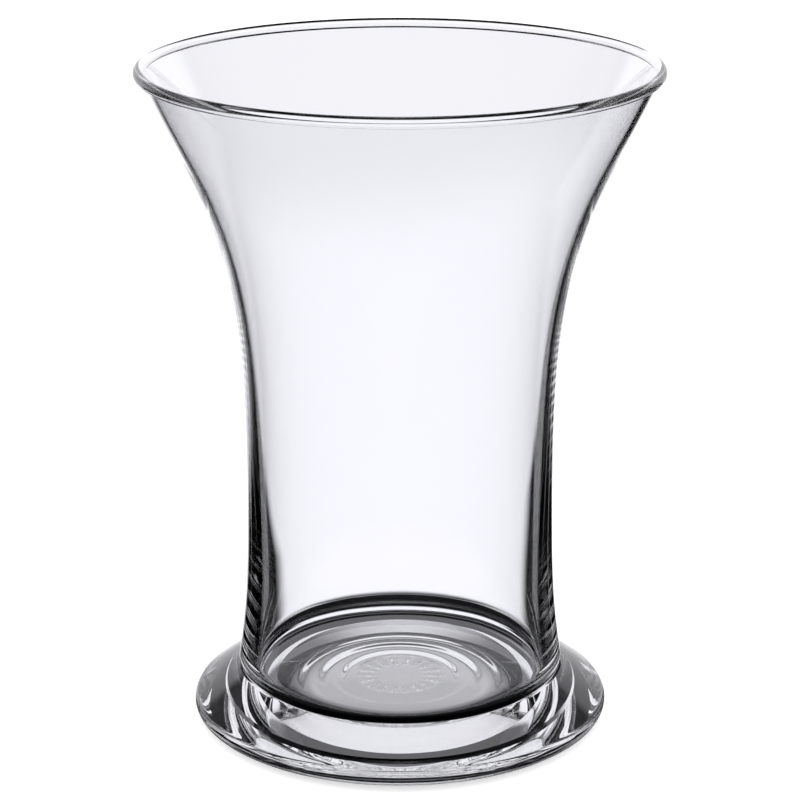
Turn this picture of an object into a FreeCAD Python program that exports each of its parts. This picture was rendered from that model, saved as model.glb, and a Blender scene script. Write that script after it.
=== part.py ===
"""Flared glass vase on a heavy disc foot.

Millimetres, +Z up, origin on the resting plane under the centre of the foot.
Each region of glass is a solid of its own: neighbours touch and never overlap.
"""
import FreeCAD
import Part
import math
import os

# Overall size
HEIGHT = 200.0
FOOT_RADIUS = 63.0
LIP_TUBE_RADIUS = 1.67
LIP_CENTRE_RADIUS = 74.95

# Outside of the wall as (height, radius), from the crease above the foot to the lip
OUTER_STATIONS = [
    (15.5, 49.6),
    (30.0, 47.6),
    (60.0, 46.1),
    (95.0, 46.15),
    (130.0, 49.1),
    (165.0, 59.6),
    (185.0, 69.5),
    (HEIGHT - LIP_TUBE_RADIUS, 75.9),
]
LIP_THICKNESS = 2.4
HEEL_THICKNESS = 6.0
THICKNESS_POWER = 3

# Inside floor and the rounded heel where it meets the wall
FLOOR_Z = 11.0
HEEL_RADIUS = 8.0
HEEL_SINK = 0.25
SLAB_BOTTOM_Z = 6.0

# Foot edge and resting ring
EDGE_RADIUS = 3.0
RING_HEIGHT = 1.0
RING_INNER_RADIUS = 48.0
RING_OUTER_RADIUS = 57.0

# Dished recess under the foot as (radius, height), from the axis outwards
RECESS_PROFILE = [
    (0.0, 5.2),
    (14.0, 5.2),
    (34.0, 3.1),
    (RING_INNER_RADIUS, RING_HEIGHT),
]

# Ring of pressed ribs in the middle of the recess
RIB_COUNT = 18
RIB_INNER_RADIUS = 7.5
RIB_OUTER_RADIUS = 13.5
RIB_WIDTH = 1.3
RIB_DEPTH = 0.5

FULL_TURN = 360.0
OVERRUN = 1.0

CREASE_Z, CREASE_RADIUS = OUTER_STATIONS[0]
WALL_TOP_Z, WALL_TOP_RADIUS = OUTER_STATIONS[-1]


def point(radius, height):
    """A profile point in the XZ plane."""
    return FreeCAD.Vector(radius, 0, height)


def line(start, end):
    return Part.makeLine(point(*start), point(*end))


def arc(start, middle, end):
    return Part.Arc(point(*start), point(*middle), point(*end)).toShape()


def curve(stations):
    """Smooth curve through (height, radius) stations."""
    spline = Part.BSplineCurve()
    spline.interpolate([point(radius, height) for height, radius in stations])
    return spline.toShape()


def polyline(points):
    return [line(start, end) for start, end in zip(points, points[1:])]


def on_circle(centre, radius, angle):
    """Point of a circle in the profile plane, angle in radians from the outward direction."""
    return (centre[0] + radius * math.cos(angle), centre[1] + radius * math.sin(angle))


def revolve(edges):
    """Solid of revolution about Z from a closed chain of profile edges."""
    wire = Part.Wire(Part.__sortEdges__(edges))
    return Part.Face(wire).revolve(point(0, 0), FreeCAD.Vector(0, 0, 1), FULL_TURN)


def wall_thickness(height):
    """Horizontal thickness of the wall, falling smoothly from the heel to the lip."""
    share = (1 - height / HEIGHT) ** THICKNESS_POWER
    return LIP_THICKNESS + (HEEL_THICKNESS - LIP_THICKNESS) * share


def outer_radius(height):
    """Outside radius between the first two stations, for the top of the heel."""
    (low, low_radius), (high, high_radius) = OUTER_STATIONS[:2]
    return low_radius + (high_radius - low_radius) * (height - low) / (high - low)


def heel():
    """Centre of the heel arc and its angle where it meets the floor."""
    centre_z = FLOOR_Z + HEEL_RADIUS - HEEL_SINK
    centre_radius = outer_radius(centre_z) - wall_thickness(centre_z) - HEEL_RADIUS
    floor_angle = -math.asin((HEEL_RADIUS - HEEL_SINK) / HEEL_RADIUS)
    return (centre_radius, centre_z), floor_angle


def make_lip():
    centre = point(0, HEIGHT - LIP_TUBE_RADIUS)
    return Part.makeTorus(LIP_CENTRE_RADIUS, LIP_TUBE_RADIUS, centre, FreeCAD.Vector(0, 0, 1))


def make_wall(lip):
    centre, floor_angle = heel()
    floor_edge = on_circle(centre, HEEL_RADIUS, floor_angle)
    heel_middle = on_circle(centre, HEEL_RADIUS, floor_angle / 2)
    heel_top = on_circle(centre, HEEL_RADIUS, 0)
    inner = [(heel_top[1], heel_top[0])]
    inner += [(height, radius - wall_thickness(height)) for height, radius in OUTER_STATIONS[1:]]
    edges = [
        arc(floor_edge, heel_middle, heel_top),
        curve(inner),
        line((inner[-1][1], WALL_TOP_Z), (WALL_TOP_RADIUS, WALL_TOP_Z)),
        curve(OUTER_STATIONS),
        line((CREASE_RADIUS, CREASE_Z), (CREASE_RADIUS, FLOOR_Z)),
        line((CREASE_RADIUS, FLOOR_Z), floor_edge),
    ]
    return revolve(edges).cut(lip)


def foot_edge():
    """Centre of the foot's rounded edge, and where the sloping top is tangent to it."""
    centre = (FOOT_RADIUS - EDGE_RADIUS, RING_HEIGHT + EDGE_RADIUS)
    run = centre[0] - CREASE_RADIUS
    drop = centre[1] - CREASE_Z
    reach = math.hypot(run, drop)
    slope = math.atan2(drop, run) + math.asin(EDGE_RADIUS / reach)
    return centre, slope, on_circle(centre, EDGE_RADIUS, slope + math.pi / 2)


def slope_radius(height):
    """Radius of the foot's sloping top at a height."""
    slope = foot_edge()[1]
    return CREASE_RADIUS + (height - CREASE_Z) / math.tan(slope)


def make_collar():
    corners = [
        (CREASE_RADIUS, CREASE_Z),
        (slope_radius(FLOOR_Z), FLOOR_Z),
        (CREASE_RADIUS, FLOOR_Z),
        (CREASE_RADIUS, CREASE_Z),
    ]
    return revolve(polyline(corners))


def make_slab():
    return Part.makeCylinder(CREASE_RADIUS, FLOOR_Z - SLAB_BOTTOM_Z, point(0, SLAB_BOTTOM_Z))


def make_ribs():
    ceiling = RECESS_PROFILE[0][1]
    ribs = []
    for index in range(RIB_COUNT):
        rib = Part.makeBox(RIB_OUTER_RADIUS - RIB_INNER_RADIUS, RIB_WIDTH, RIB_DEPTH + OVERRUN / 2)
        rib.translate(FreeCAD.Vector(RIB_INNER_RADIUS, -RIB_WIDTH / 2, ceiling - RIB_DEPTH))
        rib.rotate(point(0, 0), FreeCAD.Vector(0, 0, 1), index * FULL_TURN / RIB_COUNT)
        ribs.append(rib)
    return ribs


def make_foot():
    centre, slope, tangent = foot_edge()
    edge_bottom = (centre[0], RING_HEIGHT)
    underside = polyline(RECESS_PROFILE + [edge_bottom])
    top = polyline([
        tangent,
        (slope_radius(FLOOR_Z), FLOOR_Z),
        (CREASE_RADIUS, FLOOR_Z),
        (CREASE_RADIUS, SLAB_BOTTOM_Z),
        (0.0, SLAB_BOTTOM_Z),
        RECESS_PROFILE[0],
    ])
    rounded = arc(edge_bottom, on_circle(centre, EDGE_RADIUS, slope / 2), tangent)
    foot = revolve(underside + [rounded] + top)
    return foot.multiFuse(make_ribs()).removeSplitter()


def make_ring():
    ring = Part.makeCylinder(RING_OUTER_RADIUS, RING_HEIGHT)
    return ring.cut(Part.makeCylinder(RING_INNER_RADIUS, RING_HEIGHT))


def only_solid(shape):
    """The single solid a shape is made of."""
    solids = shape.Solids
    if len(solids) != 1 or not solids[0].isValid():
        raise ValueError("expected one valid solid, found %d" % len(solids))
    return solids[0]


def main():
    lip = make_lip()
    pieces = {
        "rim_bead": lip,
        "flared_wall": make_wall(lip),
        "foot_collar": make_collar(),
        "base_slab": make_slab(),
        "foot_disc": make_foot(),
        "resting_ring": make_ring(),
    }
    os.makedirs("parts", exist_ok=True)
    for name, shape in pieces.items():
        solid = only_solid(shape)
        solid.exportStep("parts/%s.step" % name)
        print(name, round(solid.Volume / 1000, 2), "cm3", solid.BoundBox)


main()
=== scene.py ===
"""Looks of the flared glass vase: one closed glass mesh per CAD region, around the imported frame."""
import bpy
import math
import numpy as np
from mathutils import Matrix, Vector, noise


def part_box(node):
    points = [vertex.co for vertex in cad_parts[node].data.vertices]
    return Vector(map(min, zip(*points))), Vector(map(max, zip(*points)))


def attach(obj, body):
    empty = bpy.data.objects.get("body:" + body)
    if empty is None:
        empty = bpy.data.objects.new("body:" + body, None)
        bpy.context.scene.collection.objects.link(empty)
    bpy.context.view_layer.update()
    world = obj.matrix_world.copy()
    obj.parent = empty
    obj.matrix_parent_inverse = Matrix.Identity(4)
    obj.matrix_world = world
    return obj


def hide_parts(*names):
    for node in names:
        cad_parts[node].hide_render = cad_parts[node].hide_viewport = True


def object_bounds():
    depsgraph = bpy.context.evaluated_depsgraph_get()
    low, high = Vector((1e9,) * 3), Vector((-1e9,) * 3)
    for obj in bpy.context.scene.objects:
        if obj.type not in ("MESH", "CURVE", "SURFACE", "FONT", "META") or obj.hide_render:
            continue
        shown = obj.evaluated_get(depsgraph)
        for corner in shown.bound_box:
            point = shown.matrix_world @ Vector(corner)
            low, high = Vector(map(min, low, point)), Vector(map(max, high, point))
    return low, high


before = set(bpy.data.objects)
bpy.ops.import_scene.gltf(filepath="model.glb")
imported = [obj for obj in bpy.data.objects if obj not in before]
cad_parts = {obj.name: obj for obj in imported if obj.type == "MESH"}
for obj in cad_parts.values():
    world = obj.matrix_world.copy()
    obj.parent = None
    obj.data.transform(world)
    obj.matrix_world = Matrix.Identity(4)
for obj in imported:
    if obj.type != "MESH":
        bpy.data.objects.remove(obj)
CAD_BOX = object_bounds()

MM = 0.001
FULL_TURN = 2 * math.pi
SEGMENTS = 288

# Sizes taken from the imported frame, in millimetres
LIP_BOX, FOOT_BOX, SLAB_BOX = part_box("rim_bead"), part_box("foot_disc"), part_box("base_slab")
COLLAR_BOX, RING_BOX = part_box("foot_collar"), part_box("resting_ring")
HEIGHT = CAD_BOX[1].z / MM
LIP_OUTER = min(*LIP_BOX[1].xy, *(-LIP_BOX[0].xy)) / MM
LIP_TUBE = (LIP_BOX[1].z - LIP_BOX[0].z) / MM / 2
FOOT_RADIUS = FOOT_BOX[1].x / MM
FLOOR_Z = SLAB_BOX[1].z / MM
SLAB_BOTTOM = SLAB_BOX[0].z / MM
SLAB_RADIUS = SLAB_BOX[1].x / MM
CREASE_Z = COLLAR_BOX[1].z / MM
COLLAR_RADIUS = COLLAR_BOX[1].x / MM
RING_OUTER = RING_BOX[1].x / MM
RING_TOP = RING_BOX[1].z / MM
LIP_CENTRE = (LIP_OUTER - LIP_TUBE, HEIGHT - LIP_TUBE)

# Sizes the frame's boxes don't show; the same as in the CAD part
RING_WIDTH = 9.0
RING_INNER = RING_OUTER - RING_WIDTH
EDGE_RADIUS = 3.0
LIP_THICKNESS, HEEL_THICKNESS, THICKNESS_POWER = 2.4, 6.0, 3
HEEL_RADIUS, HEEL_SINK = 8.0, 0.25

# Outside of the wall as (height, radius), from the crease above the foot to the lip
STATIONS = [
    (CREASE_Z, SLAB_RADIUS),
    (30.0, 47.6),
    (60.0, 46.1),
    (95.0, 46.15),
    (130.0, 49.1),
    (165.0, 59.6),
    (185.0, 69.5),
    (LIP_CENTRE[1], 75.9),
]

# Recess under the foot as (radius, height): a flat middle, a rippled dish, then a cone to the ring
DISH_INNER, DISH_OUTER = (14.0, 5.2), (34.0, 3.1)
RIPPLE_LENGTH, RIPPLE_HEIGHT, RIPPLE_FADE = 6.67, 0.13, 3.0
RIB_COUNT, RIB_DEPTH, RIB_INNER, RIB_OUTER, RIB_RAMP = 18, 0.25, 7.5, 13.5, 1.2

# Unevenness of the inner wall: its size in mm, then the noise's scale around and along the wall
SLOW_WAVE = (0.028, 2.2, 0.012)
FINE_WAVE = (0.006, 6.0, 0.03)
FINE_WAVE_SHIFT = 9.0

# Points on each curve and line of the profiles
WALL_POINTS, UNDERSIDE_POINTS, LIP_POINTS, EDGE_POINTS, HEEL_POINTS = 130, 150, 40, 28, 16
FLOOR_POINTS, CONE_POINTS, DISC_POINTS, SLOPE_POINTS = 20, 14, 12, 10
SMALL_ARC_POINTS, RING_BOTTOM_POINTS, RING_TOP_POINTS, SHORT_POINTS = 8, 6, 5, 4
SHARP_ANGLE = math.radians(25.0)
BISECTIONS = 40
ON_AXIS = 1e-6

# Kinds of profile strip: plain glass, clear joint with a neighbour, glass of the uneven inner wall
GLASS, SEAM, UNEVEN = 0, 1, 2


# ---------------------------------------------------------------- curves
def natural_spline(stations):
    """Function of height through (height, radius) stations, with continuous curvature."""
    x = np.array([s[0] for s in stations])
    y = np.array([s[1] for s in stations])
    h = np.diff(x)
    count = len(x)
    rows = np.eye(count)
    right = np.zeros(count)
    for i in range(1, count - 1):
        rows[i, i - 1], rows[i, i], rows[i, i + 1] = h[i - 1], 2 * (h[i - 1] + h[i]), h[i]
        right[i] = 6 * ((y[i + 1] - y[i]) / h[i] - (y[i] - y[i - 1]) / h[i - 1])
    bend = np.linalg.solve(rows, right)

    def radius(z):
        i = int(np.clip(np.searchsorted(x, z) - 1, 0, count - 2))
        a, b = x[i + 1] - z, z - x[i]
        return float((bend[i] * a ** 3 + bend[i + 1] * b ** 3) / (6 * h[i])
                     + (y[i] / h[i] - bend[i] * h[i] / 6) * a
                     + (y[i + 1] / h[i] - bend[i + 1] * h[i] / 6) * b)
    return radius


def thickness(z):
    """Thickness of the wall at a height, falling smoothly from the heel to the lip."""
    return LIP_THICKNESS + (HEEL_THICKNESS - LIP_THICKNESS) * (1 - z / HEIGHT) ** THICKNESS_POWER


def spread(start, end, count):
    """Evenly spaced numbers, both ends included."""
    return [start + (end - start) * i / (count - 1) for i in range(count)]


def arc(centre, radius, start, end, count):
    """Points of a circle, angles in radians from the outward direction."""
    return [(centre[0] + radius * math.cos(a), centre[1] + radius * math.sin(a))
            for a in spread(start, end, count)]


def smooth(t):
    """Soft step from 0 to 1."""
    t = min(max(t, 0.0), 1.0)
    return t * t * (3 - 2 * t)


def between(low, high, radius):
    """Height on the straight line from one (radius, height) point to another."""
    return low[1] + (high[1] - low[1]) * (radius - low[0]) / (high[0] - low[0])


def heel_arc():
    """Inside heel from the floor up to where the wall begins."""
    centre_z = FLOOR_Z + HEEL_RADIUS - HEEL_SINK
    low, high = STATIONS[0], STATIONS[1]
    radius = low[1] + (high[1] - low[1]) * (centre_z - low[0]) / (high[0] - low[0])
    centre = (radius - thickness(centre_z) - HEEL_RADIUS, centre_z)
    floor_angle = -math.asin((HEEL_RADIUS - HEEL_SINK) / HEEL_RADIUS)
    return arc(centre, HEEL_RADIUS, floor_angle, 0.0, HEEL_POINTS)


def meets_lip(radius_at):
    """Height where a wall surface runs into the lip's tube, and the angle on the tube."""
    low, high = LIP_CENTRE[1] - 2 * LIP_TUBE, LIP_CENTRE[1]
    for _ in range(BISECTIONS):
        middle = (low + high) / 2
        gap = math.hypot(radius_at(middle) - LIP_CENTRE[0], middle - LIP_CENTRE[1]) - LIP_TUBE
        low, high = (middle, high) if gap > 0 else (low, middle)
    angle = math.atan2(low - LIP_CENTRE[1], radius_at(low) - LIP_CENTRE[0])
    return low, angle


HEEL = heel_arc()
INNER_STATIONS = [(HEEL[-1][1], HEEL[-1][0])] + [(z, r - thickness(z)) for z, r in STATIONS[1:]]
outer_radius = natural_spline(STATIONS)
inner_radius = natural_spline(INNER_STATIONS)
OUTER_TOP, OUTER_ANGLE = meets_lip(outer_radius)
INNER_TOP, INNER_ANGLE = meets_lip(inner_radius)


def recess_z(radius):
    """Height of the foot's underside inside the resting ring."""
    if radius <= DISH_INNER[0]:
        return DISH_INNER[1]
    if radius >= DISH_OUTER[0]:
        return between(DISH_OUTER, (RING_INNER, RING_TOP), radius)
    into = radius - DISH_INNER[0]
    fade = smooth(into / RIPPLE_FADE) * smooth((DISH_OUTER[0] - radius) / RIPPLE_FADE)
    ripple = RIPPLE_HEIGHT * math.sin(into * FULL_TURN / RIPPLE_LENGTH) * fade
    return between(DISH_INNER, DISH_OUTER, radius) + ripple


# ---------------------------------------------------------------- small surface relief
def wave(settings, shift, z, angle):
    """Smooth noise on a cylinder, longer along the height than around."""
    height, around, along = settings
    place = Vector((math.cos(angle) * around + shift, math.sin(angle) * around, z * along))
    return height * noise.noise(place)


def wall_relief(radius, z, angle, kind):
    """Slow unevenness of the inner wall, as (radius, height) offsets."""
    if kind != UNEVEN:
        return 0.0, 0.0
    return wave(SLOW_WAVE, 0.0, z, angle) + wave(FINE_WAVE, FINE_WAVE_SHIFT, z, angle), 0.0


def rib_relief(radius, z, angle, kind):
    """Short pressed ribs in the middle of the recess, as (radius, height) offsets."""
    if radius >= RIB_OUTER or z >= SLAB_BOTTOM:
        return 0.0, 0.0
    ramp = smooth((radius - RIB_INNER) / RIB_RAMP) * smooth((RIB_OUTER - radius) / RIB_RAMP)
    pulse = (0.5 + 0.5 * math.cos(angle * RIB_COUNT)) ** 2
    return 0.0, -RIB_DEPTH * ramp * pulse


# ---------------------------------------------------------------- lathe
def turned_rings(profile, relief):
    """Vertices of a turned profile and, for each profile point, the indices of its ring."""
    verts, rings = [], []
    for index, (radius, z, kind) in enumerate(profile):
        if radius < ON_AXIS:
            rings.append([len(verts)])
            verts.append((0.0, 0.0, z * MM))
            continue
        ring = []
        uneven = relief and SEAM not in (kind, profile[index - 1][2])
        for step in range(SEGMENTS):
            angle = FULL_TURN * step / SEGMENTS
            dr, dz = relief(radius, z, angle, kind) if uneven else (0.0, 0.0)
            ring.append(len(verts))
            verts.append(((radius + dr) * math.cos(angle) * MM,
                          (radius + dr) * math.sin(angle) * MM, (z + dz) * MM))
        rings.append(ring)
    return verts, rings


def turned_faces(low, high):
    """Faces of the strip between two rings, either of which may be a single point on the axis."""
    faces = []
    for step in range(SEGMENTS):
        after = (step + 1) % SEGMENTS
        if len(low) == 1:
            faces.append((low[0], high[after], high[step]))
        elif len(high) == 1:
            faces.append((low[step], low[after], high[0]))
        else:
            faces.append((low[step], low[after], high[after], high[step]))
    return faces


def turned_volume(profile, strips):
    """Volume inside the turned profile, negative if its faces would look inwards."""
    total = 0.0
    for index in range(strips):
        (a, low, _), (b, high, _) = profile[index], profile[(index + 1) % len(profile)]
        total += (a * a + a * b + b * b) * (high - low)
    return total * math.pi / 3


def mark_sharp(mesh, profile, rings, closed):
    """Sharp rings where the profile turns a corner or glass gives way to a seam."""
    count = len(profile)
    owner = {}
    for index in range(count):
        if len(rings[index]) == 1 or (not closed and index in (0, count - 1)):
            continue
        a, b, c = profile[index - 1], profile[index], profile[(index + 1) % count]
        into = math.atan2(b[1] - a[1], b[0] - a[0])
        out = math.atan2(c[1] - b[1], c[0] - b[0])
        turn = abs((out - into + math.pi) % FULL_TURN - math.pi)
        if turn > SHARP_ANGLE or (a[2] == SEAM) != (b[2] == SEAM):
            owner.update((vert, index) for vert in rings[index])
    sharp = [owner.get(e.vertices[0], -1) == owner.get(e.vertices[1], -2) for e in mesh.edges]
    attribute = mesh.attributes.new("sharp_edge", "BOOLEAN", "EDGE")
    attribute.data.foreach_set("value", sharp)


def lathe(name, profile, closed, relief):
    """Closed mesh turned from (radius, height, kind) points.

    kind belongs to the strip from a point to the next. A closed profile is a loop that stays off
    the axis; an open one starts and ends on the axis.
    """
    verts, rings = turned_rings(profile, relief)
    strips = len(profile) if closed else len(profile) - 1
    inward = turned_volume(profile, strips) < 0
    faces, slots = [], []
    for index in range(strips):
        strip = turned_faces(rings[index], rings[(index + 1) % len(rings)])
        faces += [face[::-1] for face in strip] if inward else strip
        slots += [SEAM if profile[index][2] == SEAM else GLASS] * SEGMENTS
    mesh = bpy.data.meshes.new(name)
    mesh.from_pydata(verts, [], faces)
    mesh.polygons.foreach_set("material_index", slots)
    mesh.polygons.foreach_set("use_smooth", [True] * len(faces))
    mesh.update()
    mark_sharp(mesh, profile, rings, closed)
    obj = bpy.data.objects.new(name, mesh)
    bpy.context.collection.objects.link(obj)
    return obj


# ---------------------------------------------------------------- profiles
def kinded(points, kind):
    """Profile points that all start a strip of one kind."""
    return [(r, z, kind) for r, z in points]


def flat(start, end, z, count):
    """Level line of profile points."""
    return [(r, z) for r in spread(start, end, count)]


def upright(radius, start, end, count):
    """Vertical line of profile points."""
    return [(radius, z) for z in spread(start, end, count)]


def make_wall():
    bottom = kinded(flat(HEEL[0][0], SLAB_RADIUS, FLOOR_Z, SHORT_POINTS)[:-1], SEAM)
    side = kinded(upright(SLAB_RADIUS, FLOOR_Z, CREASE_Z, SHORT_POINTS)[:-1], SEAM)
    rise = spread(CREASE_Z, OUTER_TOP, WALL_POINTS)[:-1]
    fall = spread(INNER_TOP, HEEL[-1][1], WALL_POINTS)
    outside = kinded([(outer_radius(z), z) for z in rise], GLASS)
    joint = kinded(arc(LIP_CENTRE, LIP_TUBE, OUTER_ANGLE, INNER_ANGLE, SMALL_ARC_POINTS)[:-1], SEAM)
    inside = kinded([(inner_radius(z), z) for z in fall], UNEVEN)
    heel = kinded(list(reversed(HEEL))[1:-1], GLASS)
    return bottom + side + outside + joint + inside + heel


def make_lip():
    exposed = arc(LIP_CENTRE, LIP_TUBE, OUTER_ANGLE, INNER_ANGLE + FULL_TURN, LIP_POINTS)[:-1]
    joint = arc(LIP_CENTRE, LIP_TUBE, INNER_ANGLE, OUTER_ANGLE, SMALL_ARC_POINTS)[:-1]
    return kinded(exposed, GLASS) + kinded(joint, SEAM)


def make_collar():
    slope = list(zip(spread(SLAB_RADIUS, COLLAR_RADIUS, SLOPE_POINTS),
                     spread(CREASE_Z, FLOOR_Z, SLOPE_POINTS)))
    base = flat(COLLAR_RADIUS, SLAB_RADIUS, FLOOR_Z, SHORT_POINTS)
    side = upright(SLAB_RADIUS, FLOOR_Z, CREASE_Z, SHORT_POINTS)
    return kinded(slope[:-1], GLASS) + kinded(base[:-1], SEAM) + kinded(side[:-1], SEAM)


def make_slab():
    top = kinded(flat(0, HEEL[0][0], FLOOR_Z, FLOOR_POINTS)[:-1], GLASS)
    rim = kinded(flat(HEEL[0][0], SLAB_RADIUS, FLOOR_Z, SHORT_POINTS)[:-1], SEAM)
    side = kinded(upright(SLAB_RADIUS, FLOOR_Z, SLAB_BOTTOM, SHORT_POINTS)[:-1], SEAM)
    base = kinded(flat(SLAB_RADIUS, 0, SLAB_BOTTOM, DISC_POINTS), SEAM)
    return top + rim + side + base


def make_foot():
    centre = (FOOT_RADIUS - EDGE_RADIUS, RING_TOP + EDGE_RADIUS)
    run, drop = centre[0] - SLAB_RADIUS, centre[1] - CREASE_Z
    slope = math.atan2(drop, run) + math.asin(EDGE_RADIUS / math.hypot(run, drop))
    edge = arc(centre, EDGE_RADIUS, slope + math.pi / 2, -math.pi / 2, EDGE_POINTS)
    cone = [(COLLAR_RADIUS + (edge[0][0] - COLLAR_RADIUS) * t,
             FLOOR_Z + (edge[0][1] - FLOOR_Z) * t) for t in spread(0, 1, CONE_POINTS)]
    top = kinded(flat(0, SLAB_RADIUS, SLAB_BOTTOM, DISC_POINTS)[:-1], SEAM)
    pocket = kinded(upright(SLAB_RADIUS, SLAB_BOTTOM, FLOOR_Z, SHORT_POINTS)[:-1], SEAM)
    shelf = kinded(flat(SLAB_RADIUS, COLLAR_RADIUS, FLOOR_Z, SHORT_POINTS)[:-1], SEAM)
    outside = kinded(cone[:-1], GLASS) + kinded(edge, GLASS)
    joint = kinded(flat(RING_OUTER, RING_INNER, RING_TOP, RING_TOP_POINTS)[:-1], SEAM)
    under = kinded([(r, recess_z(r)) for r in spread(RING_INNER, 0, UNDERSIDE_POINTS)], GLASS)
    return top + pocket + shelf + outside + joint + under


def make_ring():
    top = kinded(flat(RING_INNER, RING_OUTER, RING_TOP, RING_TOP_POINTS)[:-1], SEAM)
    outside = kinded(upright(RING_OUTER, RING_TOP, 0.0, SHORT_POINTS)[:-1], GLASS)
    bottom = kinded(flat(RING_OUTER, RING_INNER, 0.0, RING_BOTTOM_POINTS)[:-1], GLASS)
    inside = kinded(upright(RING_INNER, 0.0, RING_TOP, SHORT_POINTS)[:-1], GLASS)
    return top + outside + bottom + inside


# ---------------------------------------------------------------- materials
GLASS_IOR = 1.5
STREAK_SCALE = (90.0, 90.0, 14.0)
STREAK_STRENGTH = 0.02
TINTS = {
    "clear_glass": (0.985, 0.985, 1.0),
    "foot_glass": (0.98, 0.98, 0.995),
    "fire_polished_glass": (0.985, 0.985, 0.995),
    "ring_glass": (0.98, 0.98, 0.995),
}


def new_material(name):
    material = bpy.data.materials.new(name)
    material.use_nodes = True
    tree = material.node_tree
    tree.nodes.clear()
    return material, tree, tree.nodes.new("ShaderNodeOutputMaterial")


def glass_material(name):
    """Clear glass with a faint tint and very faint upright streaks in its surface."""
    material, tree, output = new_material(name)
    shader = tree.nodes.new("ShaderNodeBsdfPrincipled")
    shader.inputs["Transmission Weight"].default_value = 1.0
    shader.inputs["Roughness"].default_value = 0.0
    shader.inputs["IOR"].default_value = GLASS_IOR
    shader.inputs["Base Color"].default_value = (*TINTS[name], 1.0)
    place = tree.nodes.new("ShaderNodeTexCoord")
    stretch = tree.nodes.new("ShaderNodeMapping")
    stretch.inputs["Scale"].default_value = STREAK_SCALE
    cloud = tree.nodes.new("ShaderNodeTexNoise")
    cloud.inputs["Scale"].default_value = 1.0
    cloud.inputs["Detail"].default_value = 1.0
    bump = tree.nodes.new("ShaderNodeBump")
    bump.inputs["Strength"].default_value = STREAK_STRENGTH
    bump.inputs["Distance"].default_value = MM
    tree.links.new(place.outputs["Object"], stretch.inputs["Vector"])
    tree.links.new(stretch.outputs["Vector"], cloud.inputs["Vector"])
    tree.links.new(cloud.outputs["Fac"], bump.inputs["Height"])
    tree.links.new(bump.outputs["Normal"], shader.inputs["Normal"])
    tree.links.new(shader.outputs["BSDF"], output.inputs["Surface"])
    return material


def seam_material():
    """Fused joint inside the glass: nothing shows where two regions run together."""
    material, tree, output = new_material("fused_seam")
    clear = tree.nodes.new("ShaderNodeBsdfTransparent")
    tree.links.new(clear.outputs["BSDF"], output.inputs["Surface"])
    return material


# ---------------------------------------------------------------- the vase
# (name, CAD node, profile, profile is a closed loop, material slot, relief)
PIECES = [
    ("vase_rim", "rim_bead", make_lip(), True, "fire_polished_glass", None),
    ("vase_wall", "flared_wall", make_wall(), True, "clear_glass", wall_relief),
    ("vase_collar", "foot_collar", make_collar(), True, "foot_glass", None),
    ("vase_floor", "base_slab", make_slab(), False, "clear_glass", None),
    ("vase_foot", "foot_disc", make_foot(), False, "foot_glass", rib_relief),
    ("vase_resting_ring", "resting_ring", make_ring(), True, "ring_glass", None),
]


def make_vase():
    seam = seam_material()
    glasses = {slot: glass_material(slot) for slot in TINTS}
    for name, node, profile, closed, slot, relief in PIECES:
        piece = lathe(name, profile, closed, relief)
        piece.data.materials.append(glasses[slot])
        piece.data.materials.append(seam)
        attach(piece, "root")
        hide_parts(node)


# ---------------------------------------------------------------- node helpers
def math_node(tree, operation, first, second):
    """Math node whose inputs are sockets or plain numbers; returns its output socket."""
    node = tree.nodes.new("ShaderNodeMath")
    node.operation = operation
    for socket, value in zip(node.inputs, (first, second)):
        if isinstance(value, float):
            socket.default_value = value
        else:
            tree.links.new(value, socket)
    return node.outputs[0]


def ramp_node(tree, value, start, end, low, high):
    """Soft ramp from low at start to high at end; returns its output socket."""
    node = tree.nodes.new("ShaderNodeMapRange")
    node.interpolation_type = "SMOOTHSTEP"
    for name, number in (("From Min", start), ("From Max", end), ("To Min", low), ("To Max", high)):
        node.inputs[name].default_value = number
    tree.links.new(value, node.inputs["Value"])
    return node.outputs["Result"]


# ---------------------------------------------------------------- floor
PAPER_RADIUS, PAPER_Z = 8.0, -0.0004
PAPER_GREY, PAPER_GLOW = 0.8, 0.62
GLOW_RADIUS, GLOW_Z, GLOW_BACK = 52.0 * MM, -0.0008, 3.0 * MM
GLOW_FULL, GLOW_NONE, GLOW_STRENGTH = 26.0 * MM, 37.0 * MM, 0.52
GLOW_COLOUR = (0.97, 0.97, 1.0, 1.0)
DISC_CORNERS = 96


def flat_disc(name, radius, z):
    angles = [FULL_TURN * i / DISC_CORNERS for i in range(DISC_CORNERS)]
    verts = [(radius * math.cos(angle), radius * math.sin(angle), z) for angle in angles]
    mesh = bpy.data.meshes.new(name)
    mesh.from_pydata(verts, [], [tuple(range(DISC_CORNERS))])
    obj = bpy.data.objects.new(name, mesh)
    bpy.context.collection.objects.link(obj)
    return obj


def paper_material():
    """Pale paper, with a glow of its own in place of a white tent's light."""
    material, tree, output = new_material("pale_floor")
    paper = tree.nodes.new("ShaderNodeBsdfDiffuse")
    paper.inputs["Color"].default_value = (PAPER_GREY, PAPER_GREY, PAPER_GREY, 1.0)
    glow = tree.nodes.new("ShaderNodeEmission")
    glow.inputs["Strength"].default_value = PAPER_GLOW
    both = tree.nodes.new("ShaderNodeAddShader")
    tree.links.new(paper.outputs["BSDF"], both.inputs[0])
    tree.links.new(glow.outputs["Emission"], both.inputs[1])
    tree.links.new(both.outputs["Shader"], output.inputs["Surface"])
    return material


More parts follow.
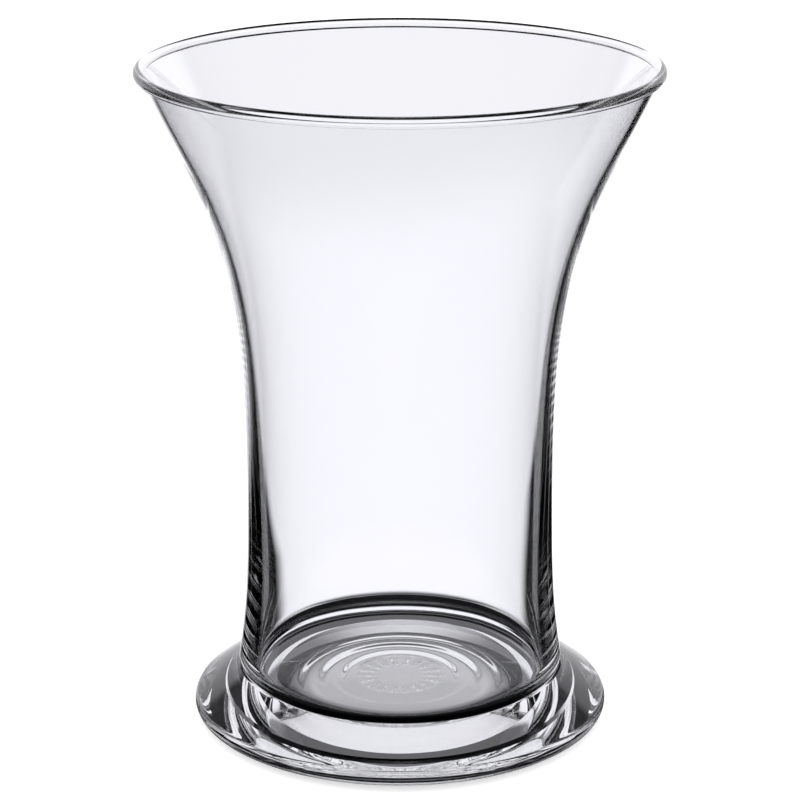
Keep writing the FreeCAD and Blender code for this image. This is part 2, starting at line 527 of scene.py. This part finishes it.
def glow_material():
    """Light on the floor under the foot: bright in the middle and gone before the ring."""
    material, tree, output = new_material("floor_glow")
    place = tree.nodes.new("ShaderNodeTexCoord")
    reach = tree.nodes.new("ShaderNodeVectorMath")
    reach.operation = "LENGTH"
    tree.links.new(place.outputs["Object"], reach.inputs[0])
    level = ramp_node(tree, reach.outputs["Value"], GLOW_FULL, GLOW_NONE, GLOW_STRENGTH, 0.0)
    light = tree.nodes.new("ShaderNodeEmission")
    light.inputs["Color"].default_value = GLOW_COLOUR
    tree.links.new(level, light.inputs["Strength"])
    tree.links.new(light.outputs["Emission"], output.inputs["Surface"])
    return material


def make_floor():
    """Paper floor that the glass doesn't show, and the light it shows in its place under the foot."""
    paper = flat_disc("floor", PAPER_RADIUS, PAPER_Z)
    paper.data.materials.append(paper_material())
    paper.visible_transmission = False
    paper.visible_glossy = False
    glow = flat_disc("floor_glow", GLOW_RADIUS, GLOW_Z)
    glow.data.materials.append(glow_material())
    glow.location = (0.0, GLOW_BACK, 0.0)
    glow.visible_camera = False
    glow.visible_diffuse = False
    glow.visible_shadow = False


# ---------------------------------------------------------------- light card
# The card keeps its place behind the vase, seen from the camera. It is narrow at its foot and
# widens upwards, so the lower wall gets broad dark edges and the flare thin ones. Sizes are metres
# on the card: half width at height 0, what it gains per metre up, and its least value; then the
# heights of the foot, the head, and the top of the dim part. The side's soft border is a share of
# the half width, the other two are metres.
CARD_DISTANCE = 2.2
CARD_TURN, CARD_LIFT = math.radians(-1.5), math.radians(13.8)
CARD_HALF, CARD_WIDEN, CARD_NARROW = 2.15, 1.9, 0.6
CARD_FOOT, CARD_HEAD, CARD_TOP = -1.375, 1.375, 2.575
CARD_SOFT_SIDE, CARD_SOFT_FOOT, CARD_SOFT_HEAD = 0.30, 0.41, 0.41
CARD_COLOUR = (0.965, 0.965, 1.0, 1.0)

# Card strength as (height, strength), steady beyond both; and the share of it left above the head
CARD_LOW, CARD_HIGH = (-0.40, 1.18), (-0.25, 1.03)
CARD_DIM = 0.16


def card_material():
    """Glow that falls away towards the card's edges, and to a dim remainder above its head."""
    material, tree, output = new_material("card_back")
    place = tree.nodes.new("ShaderNodeTexCoord")
    split = tree.nodes.new("ShaderNodeSeparateXYZ")
    tree.links.new(place.outputs["Object"], split.inputs["Vector"])
    across, up = split.outputs["X"], split.outputs["Y"]
    half = math_node(tree, "ADD", math_node(tree, "MULTIPLY", up, CARD_WIDEN), CARD_HALF)
    half = math_node(tree, "MAXIMUM", half, CARD_NARROW)
    share = math_node(tree, "DIVIDE", math_node(tree, "ABSOLUTE", across, 0.0), half)
    level = ramp_node(tree, share, 1.0 - CARD_SOFT_SIDE, 1.0, 1.0, 0.0)
    head = ramp_node(tree, up, CARD_HEAD - CARD_SOFT_HEAD, CARD_HEAD, 1.0, CARD_DIM)
    foot = ramp_node(tree, up, CARD_FOOT, CARD_FOOT + CARD_SOFT_FOOT, 0.0, 1.0)
    power = ramp_node(tree, up, CARD_LOW[0], CARD_HIGH[0], CARD_LOW[1], CARD_HIGH[1])
    for factor in (head, foot, power):
        level = math_node(tree, "MULTIPLY", level, factor)
    light = tree.nodes.new("ShaderNodeEmission")
    light.inputs["Color"].default_value = CARD_COLOUR
    tree.links.new(level, light.inputs["Strength"])
    tree.links.new(light.outputs["Emission"], output.inputs["Surface"])
    return material


def make_card(camera, gap):
    """Flat glowing card facing the vase, seen only in and through the glass."""
    away = Vector((math.sin(CARD_TURN) * math.cos(CARD_LIFT), math.sin(CARD_LIFT),
                   -math.cos(CARD_TURN) * math.cos(CARD_LIFT)))
    side = CARD_HALF + CARD_WIDEN * CARD_HEAD
    corners = [(-side, CARD_FOOT, 0), (side, CARD_FOOT, 0), (side, CARD_TOP, 0), (-side, CARD_TOP, 0)]
    mesh = bpy.data.meshes.new("card_back")
    mesh.from_pydata(corners, [], [(0, 1, 2, 3)])
    card = bpy.data.objects.new("card_back", mesh)
    bpy.context.collection.objects.link(card)
    card.data.materials.append(card_material())
    card.parent = camera
    card.location = Vector((0.0, 0.0, -gap)) + away * CARD_DISTANCE
    card.rotation_euler = away.to_track_quat("Z", "Y").to_euler()
    card.visible_camera = False
    card.visible_diffuse = False
    card.visible_shadow = False


# ---------------------------------------------------------------- world and camera
DARK_COLOUR, DARK_STRENGTH = (0.9, 0.92, 1.0, 1.0), 0.008
PLAIN_COLOUR, PLAIN_STRENGTH = (1.0, 1.0, 1.0, 1.0), 1.05
CAMERA_SPOT, CAMERA_AIM = (0.0, -0.780, 0.3485), (0.0, 0.0, 0.0983)
CAMERA_LENS, SENSOR_WIDTH = 123.5, 36.0
CLIP_START, CLIP_END = 0.01, 50.0
GLASS_BOUNCES = 256


def background(tree, colour, strength):
    node = tree.nodes.new("ShaderNodeBackground")
    node.inputs["Color"].default_value = colour
    node.inputs["Strength"].default_value = strength
    return node.outputs["Background"]


def make_world():
    """White room for the floor and the backdrop; dark beyond the card for what the glass shows."""
    world = bpy.data.worlds.new("studio")
    bpy.context.scene.world = world
    world.use_nodes = True
    tree = world.node_tree
    tree.nodes.clear()
    path = tree.nodes.new("ShaderNodeLightPath")
    choose = tree.nodes.new("ShaderNodeMixShader")
    output = tree.nodes.new("ShaderNodeOutputWorld")
    seen = math_node(tree, "MAXIMUM", path.outputs["Is Glossy Ray"], path.outputs["Is Transmission Ray"])
    tree.links.new(seen, choose.inputs["Fac"])
    tree.links.new(background(tree, PLAIN_COLOUR, PLAIN_STRENGTH), choose.inputs[1])
    tree.links.new(background(tree, DARK_COLOUR, DARK_STRENGTH), choose.inputs[2])
    tree.links.new(choose.outputs["Shader"], output.inputs["Surface"])


def make_camera():
    data = bpy.data.cameras.new("camera")
    data.sensor_width = SENSOR_WIDTH
    data.lens = CAMERA_LENS
    data.clip_start, data.clip_end = CLIP_START, CLIP_END
    camera = bpy.data.objects.new("camera", data)
    bpy.context.collection.objects.link(camera)
    camera.location = Vector(CAMERA_SPOT)
    sight = Vector(CAMERA_AIM) - camera.location
    camera.rotation_euler = sight.to_track_quat("-Z", "Y").to_euler()
    bpy.context.scene.camera = camera
    make_card(camera, sight.length)


def set_light_paths():
    """Plain tones, and enough bounces for light that runs along inside the glass."""
    scene = bpy.context.scene
    scene.view_settings.view_transform = "Standard"
    scene.cycles.max_bounces = GLASS_BOUNCES
    scene.cycles.transmission_bounces = GLASS_BOUNCES
    scene.cycles.glossy_bounces = GLASS_BOUNCES
    scene.cycles.transparent_max_bounces = GLASS_BOUNCES


make_vase()
make_floor()
make_world()
make_camera()
set_light_paths()
